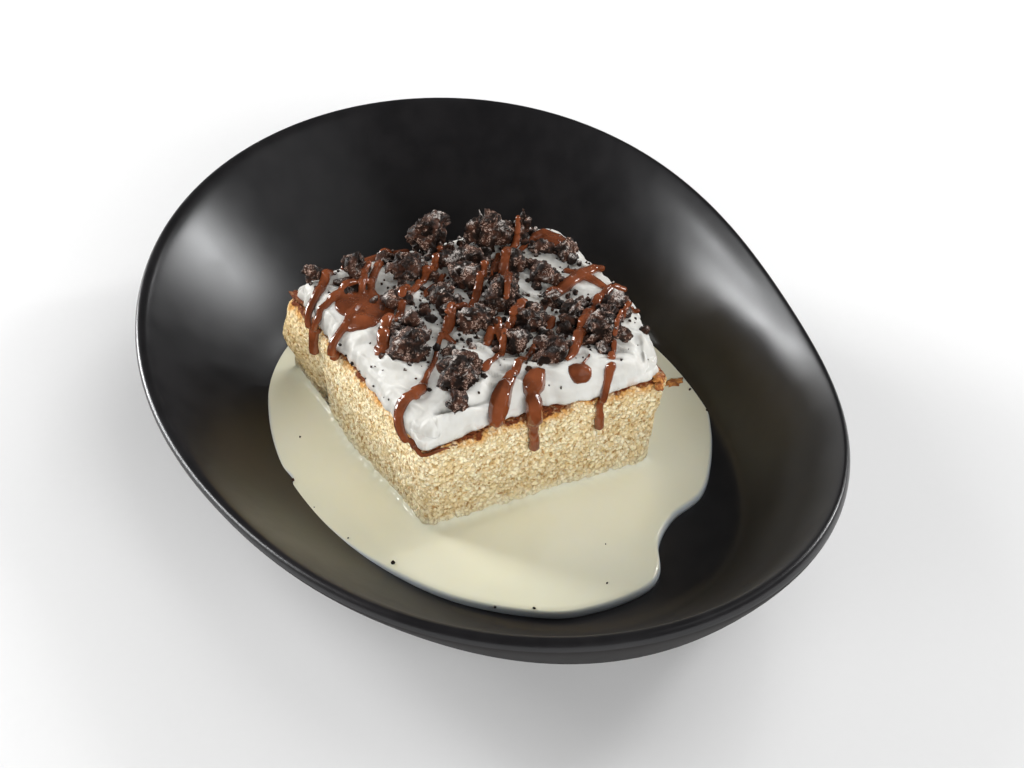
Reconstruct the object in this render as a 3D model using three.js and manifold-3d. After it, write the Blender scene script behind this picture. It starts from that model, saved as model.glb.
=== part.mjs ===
// Milk cake: a thick slice of sponge standing in a pool of milk, spread with whipped cream,
// strewn with broken chocolate cookie and drizzled with milk chocolate, in an oval bowl.
// Millimetres, +Z up. +Y runs along the bowl's long axis, and the origin is on the table
// under the middle of the bowl. The slice's sides lie roughly along X and Y.
import * as THREE from 'three';
import { mergeVertices } from 'three/addons/utils/BufferGeometryUtils.js';
import Module from 'manifold-3d';

const wasm = await Module();
wasm.setup();

// Air left between neighbouring pieces.
const gap = 0.35;

// The bowl. Sections of it are a flat floor and a wall that steepens up to a rounded lip.
const bowl = {
  halfWidth: 97,
  halfLength: 139,
  fullness: 1.3, // how far the oval bulges past a plain one
  egg: 1.9, // how much fuller the +Y end is
  rimHeight: 44.5, // mean height of the rim above the table
  rimTilt: 9, // the rim rises by this towards rimTiltAngle and drops by it behind
  rimTiltAngle: 27,
  rimWave: 5.7, // and rises by this at both ends of a line at rimWaveAngle
  rimWaveAngle: 79,
  floor: 5.4, // height of the inner floor
  floorReach: 0.64, // share of the rim's radius where the wall starts
  wallPower: 1.46, // how strongly the wall steepens
  // at the right the wall starts further out, is steep at once and flares towards the rim
  flare: { angle: 8, floorReach: 0.66, bow: 0.6 },
  floorShift: [13, -8], // the floor's middle lies off the rim's middle
  wall: 5,
  outsideShift: 0.03, // the outside of the wall lies this share of the radius further out
  lip: 4,
  footHeight: 1.8,
  footOuter: 0.5, // shares of the rim's radius
  footInner: 0.45,
  footSlope: 0.01,
  segments: 54,
};

// The milk: a shallow pool with a rounded edge, which runs furthest towards -Y.
const milk = {
  level: 8.2,
  edgeHeight: 1.2,
  edgeWidth: 1.4,
  outlineSteps: 52,
  shore: [
    [-52, 57], [-60, 34], [-64, 12], [-63, 3], [-66, -5], [-62, -21], [-54, -43], [-39, -67],
    [-18, -84], [-3, -88], [13, -86.5], [21, -81], [26.5, -70], [36, -61], [49, -55], [59, -43],
    [68, -27], [73, -12], [74, 12], [70, 42], [54, 66], [22, 80], [-14, 82], [-40, 72],
  ],
};

// The slice of sponge: corners at its foot and its browned top, in plan.
const slice = {
  foot: bowl.floor + gap,
  top: 38.5,
  width: 86,
  depth: 94,
  cornerRadius: 3,
  backRadius: 14, // the right back corner is worn round
  edgeRounding: 2,
  spacing: 4.4, // between the points of its outline
  layers: 7,
  crumb: 0.55, // how rough the cut sides are
  soaked: 4, // the crumb smooths down over this height above the milk
  corners: {
    near: { foot: [-35, -37.5], top: [-35.5, -38] },
    right: { foot: [40.5, -36], top: [48.5, -33.5] },
    back: { foot: [43, 56], top: [50.5, 57] },
    left: { foot: [-40, 57], top: [-43.5, 56] },
  },
  // the torn lump at the far left end swells out, beside a crack that opens towards the foot
  lump: { at: [-43, 52, 24], reach: 12, swell: 5, swellAlong: 2 },
  crack: { along: 36.5, width: 2.6, depth: 3.2, top: 29, taper: 12 },
  // the left side slumps outwards in the milk
  slump: { along: 12, reach: 24, bulge: 3.6 },
};

// The cream: a slab with an uneven edge, a rounded shoulder and soft strokes of the knife.
const cream = {
  underside: slice.top + 0.3,
  thickness: 8,
  edgeThickness: 4,
  shoulder: 8,
  cellsAcross: 20,
  cellsAlong: 22,
  // distance of its edge from the sponge's edge, at shares of the way along each side: at the
  // right it hangs over
  leftInset: [[0, 0.4], [0.2, 0.8], [0.45, 1.6], [0.7, 0.8], [1, 2.5]],
  rightInset: [[0, 3], [0.17, 0.3], [0.36, -2.8], [0.55, -2], [0.75, 0], [1, 1.5]],
  frontInset: [[0, 0.4], [0.3, 2.8], [0.5, 3.6], [0.66, 0.3], [0.8, 0.3], [1, 1]],
  backInset: [[0, 1.5], [0.5, 0.5], [1, 1.5]],
  meanInset: 1,
  rightRadius: 10, // its right corner is round
  // the knife's strokes: their height, spacing and bend, and broader ones that cross them
  stroke: { height: 0.7, spacing: 2.9, bend: 9, crossing: 0.5, crossSpacing: 6.3 },
  strokeAlong: [0.85, 0.53],
  // the fold left by the knife near the near corner, and the hollow behind it
  fold: { from: [-30, -35.5], to: [-12, -33.5], height: 2, width: 2.2, hollow: 1.6, back: 4.5 },
};

// Broken cookie, roughly from large to small: place in plan, length, width and height, and the angle of
// its length from +X in degrees.
const cookies = [
  { at: [23, 45], size: [16.5, 10, 11], turn: -15 },
  { at: [-16, -21], size: [16.5, 12, 10], turn: 62 },
  { at: [-24, -2], size: [13, 11.5, 9.5], turn: 30 },
  { at: [9, 37], size: [13.5, 7.5, 6.5], turn: -20 },
  { at: [4, 51], size: [12, 11, 14], turn: 10 },
  { at: [-1, 1.5], size: [13, 9.5, 9.5], turn: -12 },
  { at: [12, 12], size: [12, 11, 8.5], turn: 50 },
  { at: [-9, 38], size: [12, 10.5, 9.5], turn: -30 },
  { at: [33.5, -17], size: [11.5, 10.5, 9.5], turn: 55 },
  { at: [13, -22], size: [12, 9, 9], turn: 5 },
  { at: [6.5, 27], size: [11, 10, 8], turn: -40 },
  { at: [6.5, -10.5], size: [12, 6.5, 8], turn: 100 },
  { at: [15, -1.5], size: [10, 8.5, 8.5], turn: -35 },
  { at: [41.5, -6.5], size: [13, 9.5, 5.5], turn: -30 },
  { at: [-23.5, 45], size: [10.5, 8, 8], turn: 70 },
  { at: [28.5, -6.5], size: [9.5, 7, 7.5], turn: 80 },
  { at: [-17.5, 24.5], size: [9.5, 7, 7.5], turn: 75 },
  { at: [-5, 20], size: [9, 7, 6.5], turn: -30 },
  { at: [43, 29], size: [8.5, 6.5, 5.5], turn: 20 },
  { at: [34.5, 44.5], size: [7, 3.6, 13], turn: 35 },
  { at: [35, 33.5], size: [8, 6, 5.5], turn: -50 },
  { at: [29.5, 18], size: [8, 7, 7], turn: 15 },
  { at: [24, 28], size: [7.5, 6.5, 6.5], turn: -60 },
  { at: [-10.5, 50], size: [7.5, 6, 5.5], turn: 25 },
  { at: [-19.5, 11.5], size: [7, 6, 6], turn: 40 },
  { at: [26, 3.5], size: [7, 5.5, 5.5], turn: -10 },
  { at: [-6, 11.5], size: [7, 6, 5.5], turn: 65 },
  { at: [-36, 49], size: [7, 6, 6], turn: -25 },
  { at: [-23, -32.5], size: [8, 7.5, 6.5], turn: 60 },
];

const cookie = {
  sink: 1.5, // how deep a piece sits in the cream
  roughness: 0.17, // share of its radius
  small: 8, // pieces no longer than this get fewer faces
};

// Chocolate drizzle. A strand lies on the cream through the points given in plan, and then
// hangs down the side through the points that have a height.
const strands = [
  { radius: 1.7, on: [[-31, 50], [-36.5, 43]],
    down: [[-42.3, 38.5, 42.5], [-43.5, 36, 38], [-42.6, 35.3, 29.5]] },
  { radius: 1.4, on: [[-27, 39], [-35, 35.5]],
    down: [[-41.5, 33, 42.5], [-42.6, 34, 37.5], [-42, 35, 31]] },
  { radius: 1.5, on: [[-30, 28], [-35.5, 22]], down: [[-41, 19.5, 42.5], [-42.2, 19.5, 37.5]] },
  { radius: 1.4, on: [[20, 35.5], [9.5, 25.5], [1, 15], [-9, 5], [-19, -9], [-28, -20]],
    down: [[-36, -23, 42], [-37.6, -27, 39.6], [-37.4, -32, 38.2], [-36.4, -38, 37.2]] },
  { radius: 2.1, on: [[12, -13.5], [4, -21], [-5, -29]], down: [[-9.5, -33.5, 43.5], [-11, -36, 41.5]] },
  { radius: 2.2, on: [[6, -27.5], [2.5, -31.5]],
    down: [[1, -36.2, 42.2], [0.8, -37.8, 37], [0.7, -37.4, 28.5]] },
  { radius: 1.5, on: [[50, -7], [44.5, -10], [38, -18], [30.5, -28]],
    down: [[25, -35.6, 42], [22.8, -37.2, 36], [23, -36.9, 28.5]] },
  { radius: 1.7, on: [[32, -9], [26.5, -15], [21, -22], [17, -25.5]] },
  { radius: 1.6, on: [[-12.5, 29], [-16.5, 20], [-24, 11], [-29.5, 5]] },
  { radius: 1.5, on: [[50, 17], [45, 17.5], [37, 12.5], [28.5, 8]] },
  { radius: 1.4, on: [[50.5, 4], [46, 4], [39, -2], [33, -8.5]] },
  { radius: 1.5, on: [[-7, 54], [-16, 49.5], [-24, 51]] },
];

// Spacing of the rings of a strand.
const strandStep = 5.5;

// Thicker blobs of the same chocolate: place, radii along X and Y, and height.
const blobs = [
  { at: [-27, 28], size: [9, 9.5, 2.6] },
  { at: [40, 38], size: [6.5, 5, 2] },
  { at: [33, 48], size: [4.5, 4, 2.2] },
  { at: [18.5, -31], size: [3.4, 2.8, 2] },
  { at: [-30.5, 4], size: [2.6, 3, 2.2] },
];

const materials = {
  bowl: new THREE.MeshStandardMaterial({ color: 0x17171a, roughness: 0.45, metalness: 0 }),
  milk: new THREE.MeshStandardMaterial({ color: 0xece6cc, roughness: 0.18, metalness: 0 }),
  sponge: new THREE.MeshStandardMaterial({ color: 0xe3c88e, roughness: 0.95, metalness: 0 }),
  cream: new THREE.MeshStandardMaterial({ color: 0xf6f5f0, roughness: 0.5, metalness: 0 }),
  cookie: new THREE.MeshStandardMaterial({ color: 0x2c211e, roughness: 0.9, metalness: 0 }),
};

// Seeded random numbers from 0 to 1, so that every build makes the same crumbs.
function makeRandom(seed) {
  let state = seed;
  return () => {
    state = (state + 0x6d2b79f5) | 0;
    let mixed = Math.imul(state ^ (state >>> 15), 1 | state);
    mixed = (mixed + Math.imul(mixed ^ (mixed >>> 7), 61 | mixed)) ^ mixed;
    return ((mixed ^ (mixed >>> 14)) >>> 0) / 4294967296;
  };
}

const radians = THREE.MathUtils.degToRad;
const clamp = THREE.MathUtils.clamp;
const lerp = THREE.MathUtils.lerp;

// Moves every vertex of a geometry by a rule that takes and changes a Vector3.
function reshape(geometry, rule) {
  const positions = geometry.attributes.position;
  const point = new THREE.Vector3();
  for (let index = 0; index < positions.count; index += 1) {
    point.fromBufferAttribute(positions, index);
    rule(point, index);
    positions.setXYZ(index, point.x, point.y, point.z);
  }
  return geometry;
}

// Keeps only the positions of a geometry and joins the vertices that coincide.
function welded(geometry) {
  geometry.deleteAttribute('normal');
  geometry.deleteAttribute('uv');
  return mergeVertices(geometry, 1e-4);
}

// A welded geometry swollen by a distance along its vertex normals.
function grown(geometry, distance) {
  const copy = geometry.clone();
  copy.computeVertexNormals();
  const normals = copy.attributes.normal;
  const normal = new THREE.Vector3();
  reshape(copy, (point, index) => {
    normal.fromBufferAttribute(normals, index);
    point.addScaledVector(normal, distance);
  });
  copy.deleteAttribute('normal');
  return copy;
}

function toSolid(geometry) {
  const vertProperties = new Float32Array(geometry.attributes.position.array);
  const triVerts = new Uint32Array(geometry.index.array);
  return new wasm.Manifold(new wasm.Mesh({ numProp: 3, vertProperties, triVerts }));
}

function toGeometry(solid) {
  const mesh = solid.getMesh();
  const geometry = new THREE.BufferGeometry();
  geometry.setAttribute('position', new THREE.BufferAttribute(mesh.vertProperties, 3));
  geometry.setIndex(new THREE.BufferAttribute(mesh.triVerts, 1));
  return geometry;
}

// The outer skin of a solid's largest body: loose scraps go, and sealed hollows fill up.
function wholeBody(solid) {
  const skins = toSolid(mergeVertices(toGeometry(solid), 1e-3)).decompose();
  const largest = skins.reduce((best, skin) => (skin.volume() > best.volume() ? skin : best));
  return toGeometry(largest);
}

// Plan radius of the rim at an angle from +X.
function rimRadius(angle) {
  const mean = (bowl.halfLength + bowl.halfWidth) / 2;
  const oval = (bowl.halfLength - bowl.halfWidth) / 2;
  const egg = bowl.egg * (Math.sin(angle) + Math.sin(3 * angle));
  return mean - oval * Math.cos(2 * angle) + egg + bowl.fullness * Math.cos(4 * angle);
}

// Height of the rim at an angle from +X.
function rimHeight(angle) {
  const tilt = bowl.rimTilt * Math.cos(angle - radians(bowl.rimTiltAngle));
  const wave = bowl.rimWave * Math.cos(2 * (angle - radians(bowl.rimWaveAngle)));
  return bowl.rimHeight + tilt + wave;
}

const meanRadius = (bowl.halfLength + bowl.halfWidth) / 2;
const brimShare = 1 - bowl.lip / meanRadius;
const brimHeight = bowl.rimHeight - 0.3 * bowl.lip;

// Height of the inner surface of the round bowl at a share of the rim's radius.
function innerHeight(share) {
  const climb = Math.max(0, (share - bowl.floorReach) / (brimShare - bowl.floorReach));
  return bowl.floor + (brimHeight - bowl.floor) * climb ** bowl.wallPower;
}

// How much higher the wall stands where it flares, at a share of the rim's radius.
function flareLift(share, angle) {
  const { flare } = bowl;
  const strength = Math.max(0, Math.cos(angle - radians(flare.angle))) ** 2;
  const reached = Math.min(share, brimShare);
  const climb = Math.max(0, (reached - flare.floorReach) / (brimShare - flare.floorReach));
  const flared = bowl.floor + (brimHeight - bowl.floor) * climb * (1 + flare.bow * (1 - climb));
  return strength * (flared - innerHeight(reached));
}

// Pulls a round bowl out to the oval plan, and its wall and rim to the real heights.
function toOval(point) {
  const angle = Math.atan2(point.y, point.x);
  const share = Math.hypot(point.x, point.y) / meanRadius;
  const outside = point.z < innerHeight(Math.min(share, brimShare)) - 1;
  if (share > bowl.floorReach) {
    point.z += flareLift(outside ? share - bowl.outsideShift : share, angle);
  }
  const stretch = rimRadius(angle) / meanRadius;
  const shift = Math.max(0, 1 - share * share);
  const lift = Math.max(0, (point.z - bowl.floor) / (bowl.rimHeight - bowl.floor));
  point.x = point.x * stretch + bowl.floorShift[0] * shift;
  point.y = point.y * stretch + bowl.floorShift[1] * shift;
  point.z += lift * (rimHeight(angle) - bowl.rimHeight);
}

// Revolves a profile of [radius, height] pairs about +Z and pulls it to the oval.
function ovalLathe(profile) {
  const points = profile.map(([radius, height]) => new THREE.Vector2(radius, height));
  const lathe = new THREE.LatheGeometry(points, bowl.segments);
  lathe.rotateX(Math.PI / 2);
  return reshape(welded(lathe), toOval);
}

// Shares of the radius at which the wall's sections are taken, from its foot up to the lip.
function wallShares() {
  const steps = 7;
  const shares = [];
  for (let step = 0; step <= steps; step += 1) {
    shares.push(lerp(bowl.floorReach, brimShare, step / steps));
  }
  return shares;
}

// A point of the outer wall: the wall's thickness square off the inner surface.
function outerPoint(share) {
  const small = 0.005;
  const run = 2 * small * meanRadius;
  const climb = innerHeight(share + small) - innerHeight(share - small);
  const length = Math.hypot(run, climb);
  return [
    share * meanRadius + (bowl.wall * climb) / length,
    innerHeight(share) - (bowl.wall * run) / length,
  ];
}

function bowlGeometry() {
  const shares = wallShares();
  const underside = bowl.footHeight;
  const outerWall = shares.slice(1).map(outerPoint);
  const innerWall = shares.map((share) => [share * meanRadius, innerHeight(share)]);
  const lip = bowl.lip;
  const profile = [
    [0, underside],
    [(bowl.footInner - bowl.footSlope) * meanRadius, underside],
    [bowl.footInner * meanRadius, 0],
    [bowl.footOuter * meanRadius, 0],
    [(bowl.footOuter + bowl.footSlope) * meanRadius, underside],
    ...outerWall,
    [meanRadius, brimHeight - 0.3 * lip],
    [meanRadius - 0.12 * lip, brimHeight + 0.1 * lip],
    [meanRadius - 0.5 * lip, bowl.rimHeight],
    ...innerWall.reverse(),
    [bowl.floorReach * 0.5 * meanRadius, bowl.floor],
    [0, bowl.floor],
  ];
  return ovalLathe(profile);
}

// The room inside the bowl up to above the milk, a gap clear of the bowl.
function roomGeometry() {
  const shares = wallShares().slice(0, 4);
  const wall = shares.map((share) => [share * meanRadius, innerHeight(share) + gap]);
  const top = wall.at(-1)[1];
  return ovalLathe([[0, bowl.floor + gap], ...wall, [0, top]]);
}

// The point in plan at a share of the way across (near to right) and along (near to left).
function onSlice(across, along, height) {
  const rise = clamp((height - slice.foot) / (slice.top - slice.foot), 0, 1);
  const corner = ({ foot, top }) => new THREE.Vector2(...foot).lerp(new THREE.Vector2(...top), rise);
  const { near, right, back, left } = slice.corners;
  const front = corner(near).lerp(corner(right), across);
  const rear = corner(left).lerp(corner(back), across);
  return front.lerp(rear, along);
}

// Outline of the slice with rounded corners, as closely spaced points.
function sliceShape() {
  const { width, depth, cornerRadius: radius, backRadius } = slice;
  const outline = new THREE.Path();
  outline.moveTo(radius, 0);
  outline.lineTo(width - radius, 0);
  outline.absarc(width - radius, radius, radius, -Math.PI / 2, 0);
  outline.lineTo(width, depth - backRadius);
  outline.absarc(width - backRadius, depth - backRadius, backRadius, 0, Math.PI / 2);
  outline.lineTo(radius, depth);
  outline.absarc(radius, depth - radius, radius, Math.PI / 2, Math.PI);
  outline.lineTo(0, radius);
  outline.absarc(radius, radius, radius, Math.PI, Math.PI * 1.5);
  const count = Math.round(outline.getLength() / slice.spacing);
  return new THREE.Shape(outline.getSpacedPoints(count).slice(0, count));
}

function spongeGeometry() {
  const rounding = slice.edgeRounding;
  const height = slice.top - slice.foot;
  const block = new THREE.ExtrudeGeometry(sliceShape(), {
    depth: height - 2 * rounding,
    steps: slice.layers,
    bevelThickness: rounding,
    bevelSize: rounding,
    bevelOffset: -rounding,
    bevelSegments: 1,
  });
  block.translate(0, 0, slice.foot + rounding);
  const random = makeRandom(11);
  const { lump, crack, slump } = slice;
  const lumpCentre = new THREE.Vector3(...lump.at);
  return reshape(welded(block), (point) => {
    const { x, y } = onSlice(point.x / slice.width, point.y / slice.depth, point.z);
    const drop = clamp((slice.top - point.z) / (slice.top - slice.foot), 0, 1);
    const sag = slump.bulge * drop * Math.exp(-(((y - slump.along) / slump.reach) ** 2));
    point.x = x - sag * (1 - point.x / slice.width);
    point.y = y;
    const flat = point.z < slice.foot + 0.01 || point.z > slice.top - 0.01;
    if (!flat) {
      const wet = clamp((point.z - milk.level) / slice.soaked, 0.2, 1);
      const rough = () => slice.crumb * wet * (2 * random() - 1);
      const near = Math.exp(-((point.distanceTo(lumpCentre) / lump.reach) ** 2));
      const open = clamp((crack.top - point.z) / crack.taper, 0, 1);
      const notch = Math.exp(-(((point.y - crack.along) / crack.width) ** 2));
      const onLeft = point.x < slice.corners.near.foot[0] + slice.cornerRadius ? 1 : 0;
      point.x += rough() - lump.swell * near + onLeft * open * notch * crack.depth;
      point.y += rough() + lump.swellAlong * near;
      point.z += rough() / 2;
    }
  });
}

// Value at a share of the way, eased between the listed pairs of share and value.
function easedAlong(pairs, share) {
  const next = pairs.findIndex(([at], index) => index > 0 && share <= at);
  const [start, before] = pairs[next - 1];
  const [end, after] = pairs[next];
  return lerp(before, after, THREE.MathUtils.smoothstep(share, start, end));
}

// Pulls the square corners of a slab in to the cream's round ones at the right.
function intoCorners(across, along) {
  const x = across - slice.width;
  const ends = [
    { reach: slice.backRadius, y: along - slice.depth, outward: 1 },
    { reach: cream.rightRadius, y: -along, outward: -1 },
  ];
  const plan = [across, along];
  for (const { reach, y, outward } of ends) {
    const inX = Math.max(0, x + reach);
    const inY = Math.max(0, y + reach);
    const shrink = inX * inY > 0 ? Math.max(inX, inY) / Math.hypot(inX, inY) - 1 : 0;
    plan[0] += inX * shrink;
    plan[1] += outward * inY * shrink;
  }
  return plan;
}

// Height of the cream's upper surface above its underside.
function creamHeight(x, y, edge) {
  const { fold, shoulder, edgeThickness, thickness, stroke } = cream;
  const near = 1 - clamp(edge / shoulder, 0, 1);
  const body = lerp(edgeThickness, thickness, Math.sqrt(1 - near * near));
  const sweep = cream.strokeAlong[0] * x + cream.strokeAlong[1] * y;
  const ripple = stroke.height * Math.sin(sweep / stroke.spacing + Math.sin(y / stroke.bend));
  const swell = stroke.crossing * Math.sin((x - y) / stroke.crossSpacing + 1);
  const start = new THREE.Vector2(...fold.from);
  const along = new THREE.Vector2(...fold.to).sub(start);
  const toPoint = new THREE.Vector2(x, y).sub(start);
  const share = clamp(toPoint.dot(along) / along.lengthSq(), 0, 1);
  const nearest = along.clone().multiplyScalar(share);
  const behind = Math.hypot(toPoint.x - nearest.x, toPoint.y - nearest.y - fold.back) / fold.width;
  const off = toPoint.distanceTo(nearest) / fold.width;
  const ridge = fold.height * Math.exp(-off * off) - fold.hollow * Math.exp(-behind * behind);
  return body + (ripple + swell) * (1 - near) + ridge;
}

// A slab of cream, swollen by a distance at its top and sides.
function creamGeometry(swell) {
  const slab = new THREE.BoxGeometry(1, 1, 1, cream.cellsAcross, cream.cellsAlong, 1);
  const eased = (share) => share - 0.1 * Math.sin(2 * Math.PI * share);
  return reshape(welded(slab), (point) => {
    const u = eased(point.x + 0.5);
    const v = eased(point.y + 0.5);
    const west = easedAlong(cream.leftInset, v) - swell;
    const east = slice.width - easedAlong(cream.rightInset, v) + swell;
    const south = easedAlong(cream.frontInset, u) - swell;
    const north = slice.depth - easedAlong(cream.backInset, u) + swell;
    const [across, along] = intoCorners(lerp(west, east, u), lerp(south, north, v));
    const edgeAcross = Math.min(u, 1 - u) * slice.width;
    const edgeAlong = Math.min(v, 1 - v) * slice.depth;
    const cornered = Math.min(edgeAcross, edgeAlong);
    const plan = onSlice(across / slice.width, along / slice.depth, slice.top);
    const top = creamHeight(plan.x, plan.y, cornered) + swell;
    point.set(plan.x, plan.y, cream.underside + (point.z > 0 ? top : 0));
  });
}

// Height of the cream's top above a point in plan, at least a shoulder from its edge.
function creamTop(x, y) {
  const { near, right, left } = slice.corners;
  const edgeLeft = x - lerp(near.top[0], left.top[0], (y - near.top[1]) / slice.depth);
  const edgeFront = y - lerp(near.top[1], right.top[1], (x - near.top[0]) / slice.width);
  const edgeRight = right.top[0] - x;
  const edgeBack = left.top[1] - y;
  const edge = Math.max(0, Math.min(edgeLeft, edgeFront, edgeRight, edgeBack) - cream.meanInset);
  return cream.underside + creamHeight(x, y, edge);
}

// A broken piece of cookie: a ball of a few faces, roughened, drawn out and turned.
function cookieGeometry({ at, size, turn }, seed) {
  const random = makeRandom(seed);
  const ball = size[0] > cookie.small
    ? new THREE.IcosahedronGeometry(0.5, 1)
    : new THREE.OctahedronGeometry(0.5, 1);
  const lump = welded(ball);
  reshape(lump, (point) => point.multiplyScalar(1 + cookie.roughness * (2 * random() - 1)));
  lump.scale(...size);
  lump.rotateZ(radians(turn));
  lump.translate(at[0], at[1], creamTop(...at) + size[2] / 2 - cookie.sink);
  return lump;
}

// A strand of chocolate: a tube along its points, which lie on the cream or hang below it.
function strandGeometry({ radius, on, down = [] }) {
  const lying = on.map(([x, y]) => new THREE.Vector3(x, y, creamTop(x, y) + 0.3 * radius));
  const hanging = down.map((point) => new THREE.Vector3(...point));
  const path = new THREE.CatmullRomCurve3([...lying, ...hanging], false, 'centripetal');
  const section = new THREE.Shape();
  section.absarc(0, 0, radius, 0, 2 * Math.PI);
  return welded(new THREE.ExtrudeGeometry(section, {
    steps: Math.round(path.getLength() / strandStep),
    curveSegments: 3,
    extrudePath: path,
  }));
}

function blobGeometry({ at, size }) {
  const blob = welded(new THREE.IcosahedronGeometry(1, size[0] > 5 ? 2 : 1));
  blob.scale(...size);
  blob.translate(...at, creamTop(...at));
  return blob;
}

function milkShape() {
  const shore = milk.shore.map(([x, y]) => new THREE.Vector3(x, y, 0));
  const outline = new THREE.CatmullRomCurve3(shore, true, 'centripetal');
  const points = outline.getSpacedPoints(milk.outlineSteps).slice(0, milk.outlineSteps);
  return new THREE.Shape(points.map(({ x, y }) => new THREE.Vector2(x, y)));
}

function milkGeometry(sponge) {
  const below = 2 * milk.edgeHeight;
  const pool = new THREE.ExtrudeGeometry(milkShape(), {
    depth: milk.level - milk.edgeHeight - bowl.floor + below,
    bevelThickness: milk.edgeHeight,
    bevelSize: milk.edgeWidth,
    bevelOffset: -milk.edgeWidth,
    bevelSegments: 1,
  });
  pool.translate(0, 0, bowl.floor - below);
  const room = toSolid(roomGeometry());
  const wet = toSolid(welded(pool)).intersect(room);
  return wholeBody(wet.subtract(toSolid(grown(sponge, 1.5 * gap))));
}

const cake = new THREE.Group();

function addPiece(name, geometry, material) {
  const mesh = new THREE.Mesh(geometry, material);
  mesh.name = name;
  cake.add(mesh);
}

const sponge = spongeGeometry();
const raisedCream = toSolid(creamGeometry(gap));

// Each cookie piece is trimmed to lie on the cream and clear of the larger pieces before it.
const placedCookies = [];
let cookieRoom = null;
cookies.forEach((piece, index) => {
  const lump = cookieGeometry(piece, 101 + index);
  const resting = toSolid(lump).subtract(raisedCream);
  const room = toSolid(grown(lump, gap));
  placedCookies.push(wholeBody(cookieRoom ? resting.subtract(cookieRoom) : resting));
  cookieRoom = cookieRoom ? cookieRoom.add(room) : room;
});

// The drizzle is one with the cream, and stops at the cookie pieces and at the sponge.
const drizzle = [...strands.map(strandGeometry), ...blobs.map(blobGeometry)]
  .map(toSolid)
  .reduce((all, strand) => all.add(strand))
  .subtract(cookieRoom)
  .subtract(toSolid(grown(sponge, 1.5 * gap)));
const toppedCream = wholeBody(toSolid(creamGeometry(0)).add(drizzle));

addPiece('bowl', bowlGeometry(), materials.bowl);
addPiece('milk', milkGeometry(sponge), materials.milk);
addPiece('sponge', sponge, materials.sponge);
addPiece('cream', toppedCream, materials.cream);
placedCookies.forEach((piece, index) => {
  const number = String(index + 1).padStart(2, '0');
  addPiece(`cookie_${number}`, piece, materials.cookie);
});

export default cake;
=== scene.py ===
import math
import random

import bmesh
import bpy
from mathutils import Matrix, Vector, noise
from mathutils.bvhtree import BVHTree


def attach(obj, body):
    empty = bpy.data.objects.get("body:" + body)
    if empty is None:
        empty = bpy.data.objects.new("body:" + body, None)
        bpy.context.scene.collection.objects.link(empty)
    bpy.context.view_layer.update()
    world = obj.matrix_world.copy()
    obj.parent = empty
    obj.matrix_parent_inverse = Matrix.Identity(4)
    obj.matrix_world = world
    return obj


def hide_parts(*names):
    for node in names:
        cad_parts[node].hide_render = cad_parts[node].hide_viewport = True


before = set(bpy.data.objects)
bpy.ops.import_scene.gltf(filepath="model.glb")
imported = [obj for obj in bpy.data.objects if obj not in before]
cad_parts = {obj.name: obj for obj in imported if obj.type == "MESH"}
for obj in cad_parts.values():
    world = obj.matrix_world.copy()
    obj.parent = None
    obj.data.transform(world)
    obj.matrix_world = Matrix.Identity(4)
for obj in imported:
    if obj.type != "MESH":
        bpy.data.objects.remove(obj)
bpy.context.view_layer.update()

# Milk cake in an oval bowl. Shapes are worked out in millimetres in the frame of the solids
# and become metres when a piece is added.
scene = bpy.context.scene
toMetres = Matrix.Scale(0.001, 4)
toMillimetres = Matrix.Scale(1000, 4)
cookieNames = sorted(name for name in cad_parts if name.startswith("cookie"))

# Camera

cameraView = {
    "place": (-0.19886, -0.46102, 0.39706),
    "lookAt": (0.01241, 0.00473, 0.02),
    "lens": 70.3,
}


def addCamera():
    data = bpy.data.cameras.new("photoCamera")
    data.lens = cameraView["lens"]
    camera = bpy.data.objects.new("photoCamera", data)
    scene.collection.objects.link(camera)
    camera.location = cameraView["place"]
    sight = Vector(cameraView["lookAt"]) - camera.location
    camera.rotation_euler = sight.to_track_quat("-Z", "Y").to_euler()
    scene.camera = camera


addCamera()
print("camera set")

# Node building


def addNode(tree, kind, inputs=None, **settings):
    node = tree.nodes.new(kind)
    for name, value in settings.items():
        setattr(node, name, value)
    for key, value in (inputs or {}).items():
        if isinstance(value, bpy.types.NodeSocket):
            tree.links.new(value, node.inputs[key])
        else:
            node.inputs[key].default_value = value
    return node


def newMaterial(name):
    material = bpy.data.materials.new(name)
    material.use_nodes = True
    tree = material.node_tree
    tree.nodes.clear()
    shader = addNode(tree, "ShaderNodeBsdfPrincipled")
    addNode(tree, "ShaderNodeOutputMaterial", {"Surface": shader.outputs["BSDF"]})
    place = addNode(tree, "ShaderNodeTexCoord").outputs["Object"]
    return material, tree, shader, place


def addNoise(tree, place, scale, detail=3.0, roughness=0.55):
    return addNode(tree, "ShaderNodeTexNoise",
                   {"Vector": place, "Scale": scale, "Detail": detail, "Roughness": roughness}).outputs["Fac"]


def addRange(tree, value, low, high, toLow=0.0, toHigh=1.0):
    return addNode(tree, "ShaderNodeMapRange",
                   {"Value": value, "From Min": low, "From Max": high, "To Min": toLow, "To Max": toHigh},
                   interpolation_type="SMOOTHSTEP").outputs["Result"]


def addMix(tree, share, first, second):
    node = addNode(tree, "ShaderNodeMix", data_type="RGBA")
    for index, value in ((0, share), (6, first), (7, second)):
        if isinstance(value, bpy.types.NodeSocket):
            tree.links.new(value, node.inputs[index])
        else:
            node.inputs[index].default_value = value
    return node.outputs[2]


def addMath(tree, operation, first, second):
    return addNode(tree, "ShaderNodeMath", {0: first, 1: second}, operation=operation).outputs[0]


def addBump(tree, height, distance, strength=1.0):
    return addNode(tree, "ShaderNodeBump",
                   {"Height": height, "Distance": distance, "Strength": strength}).outputs["Normal"]


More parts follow.
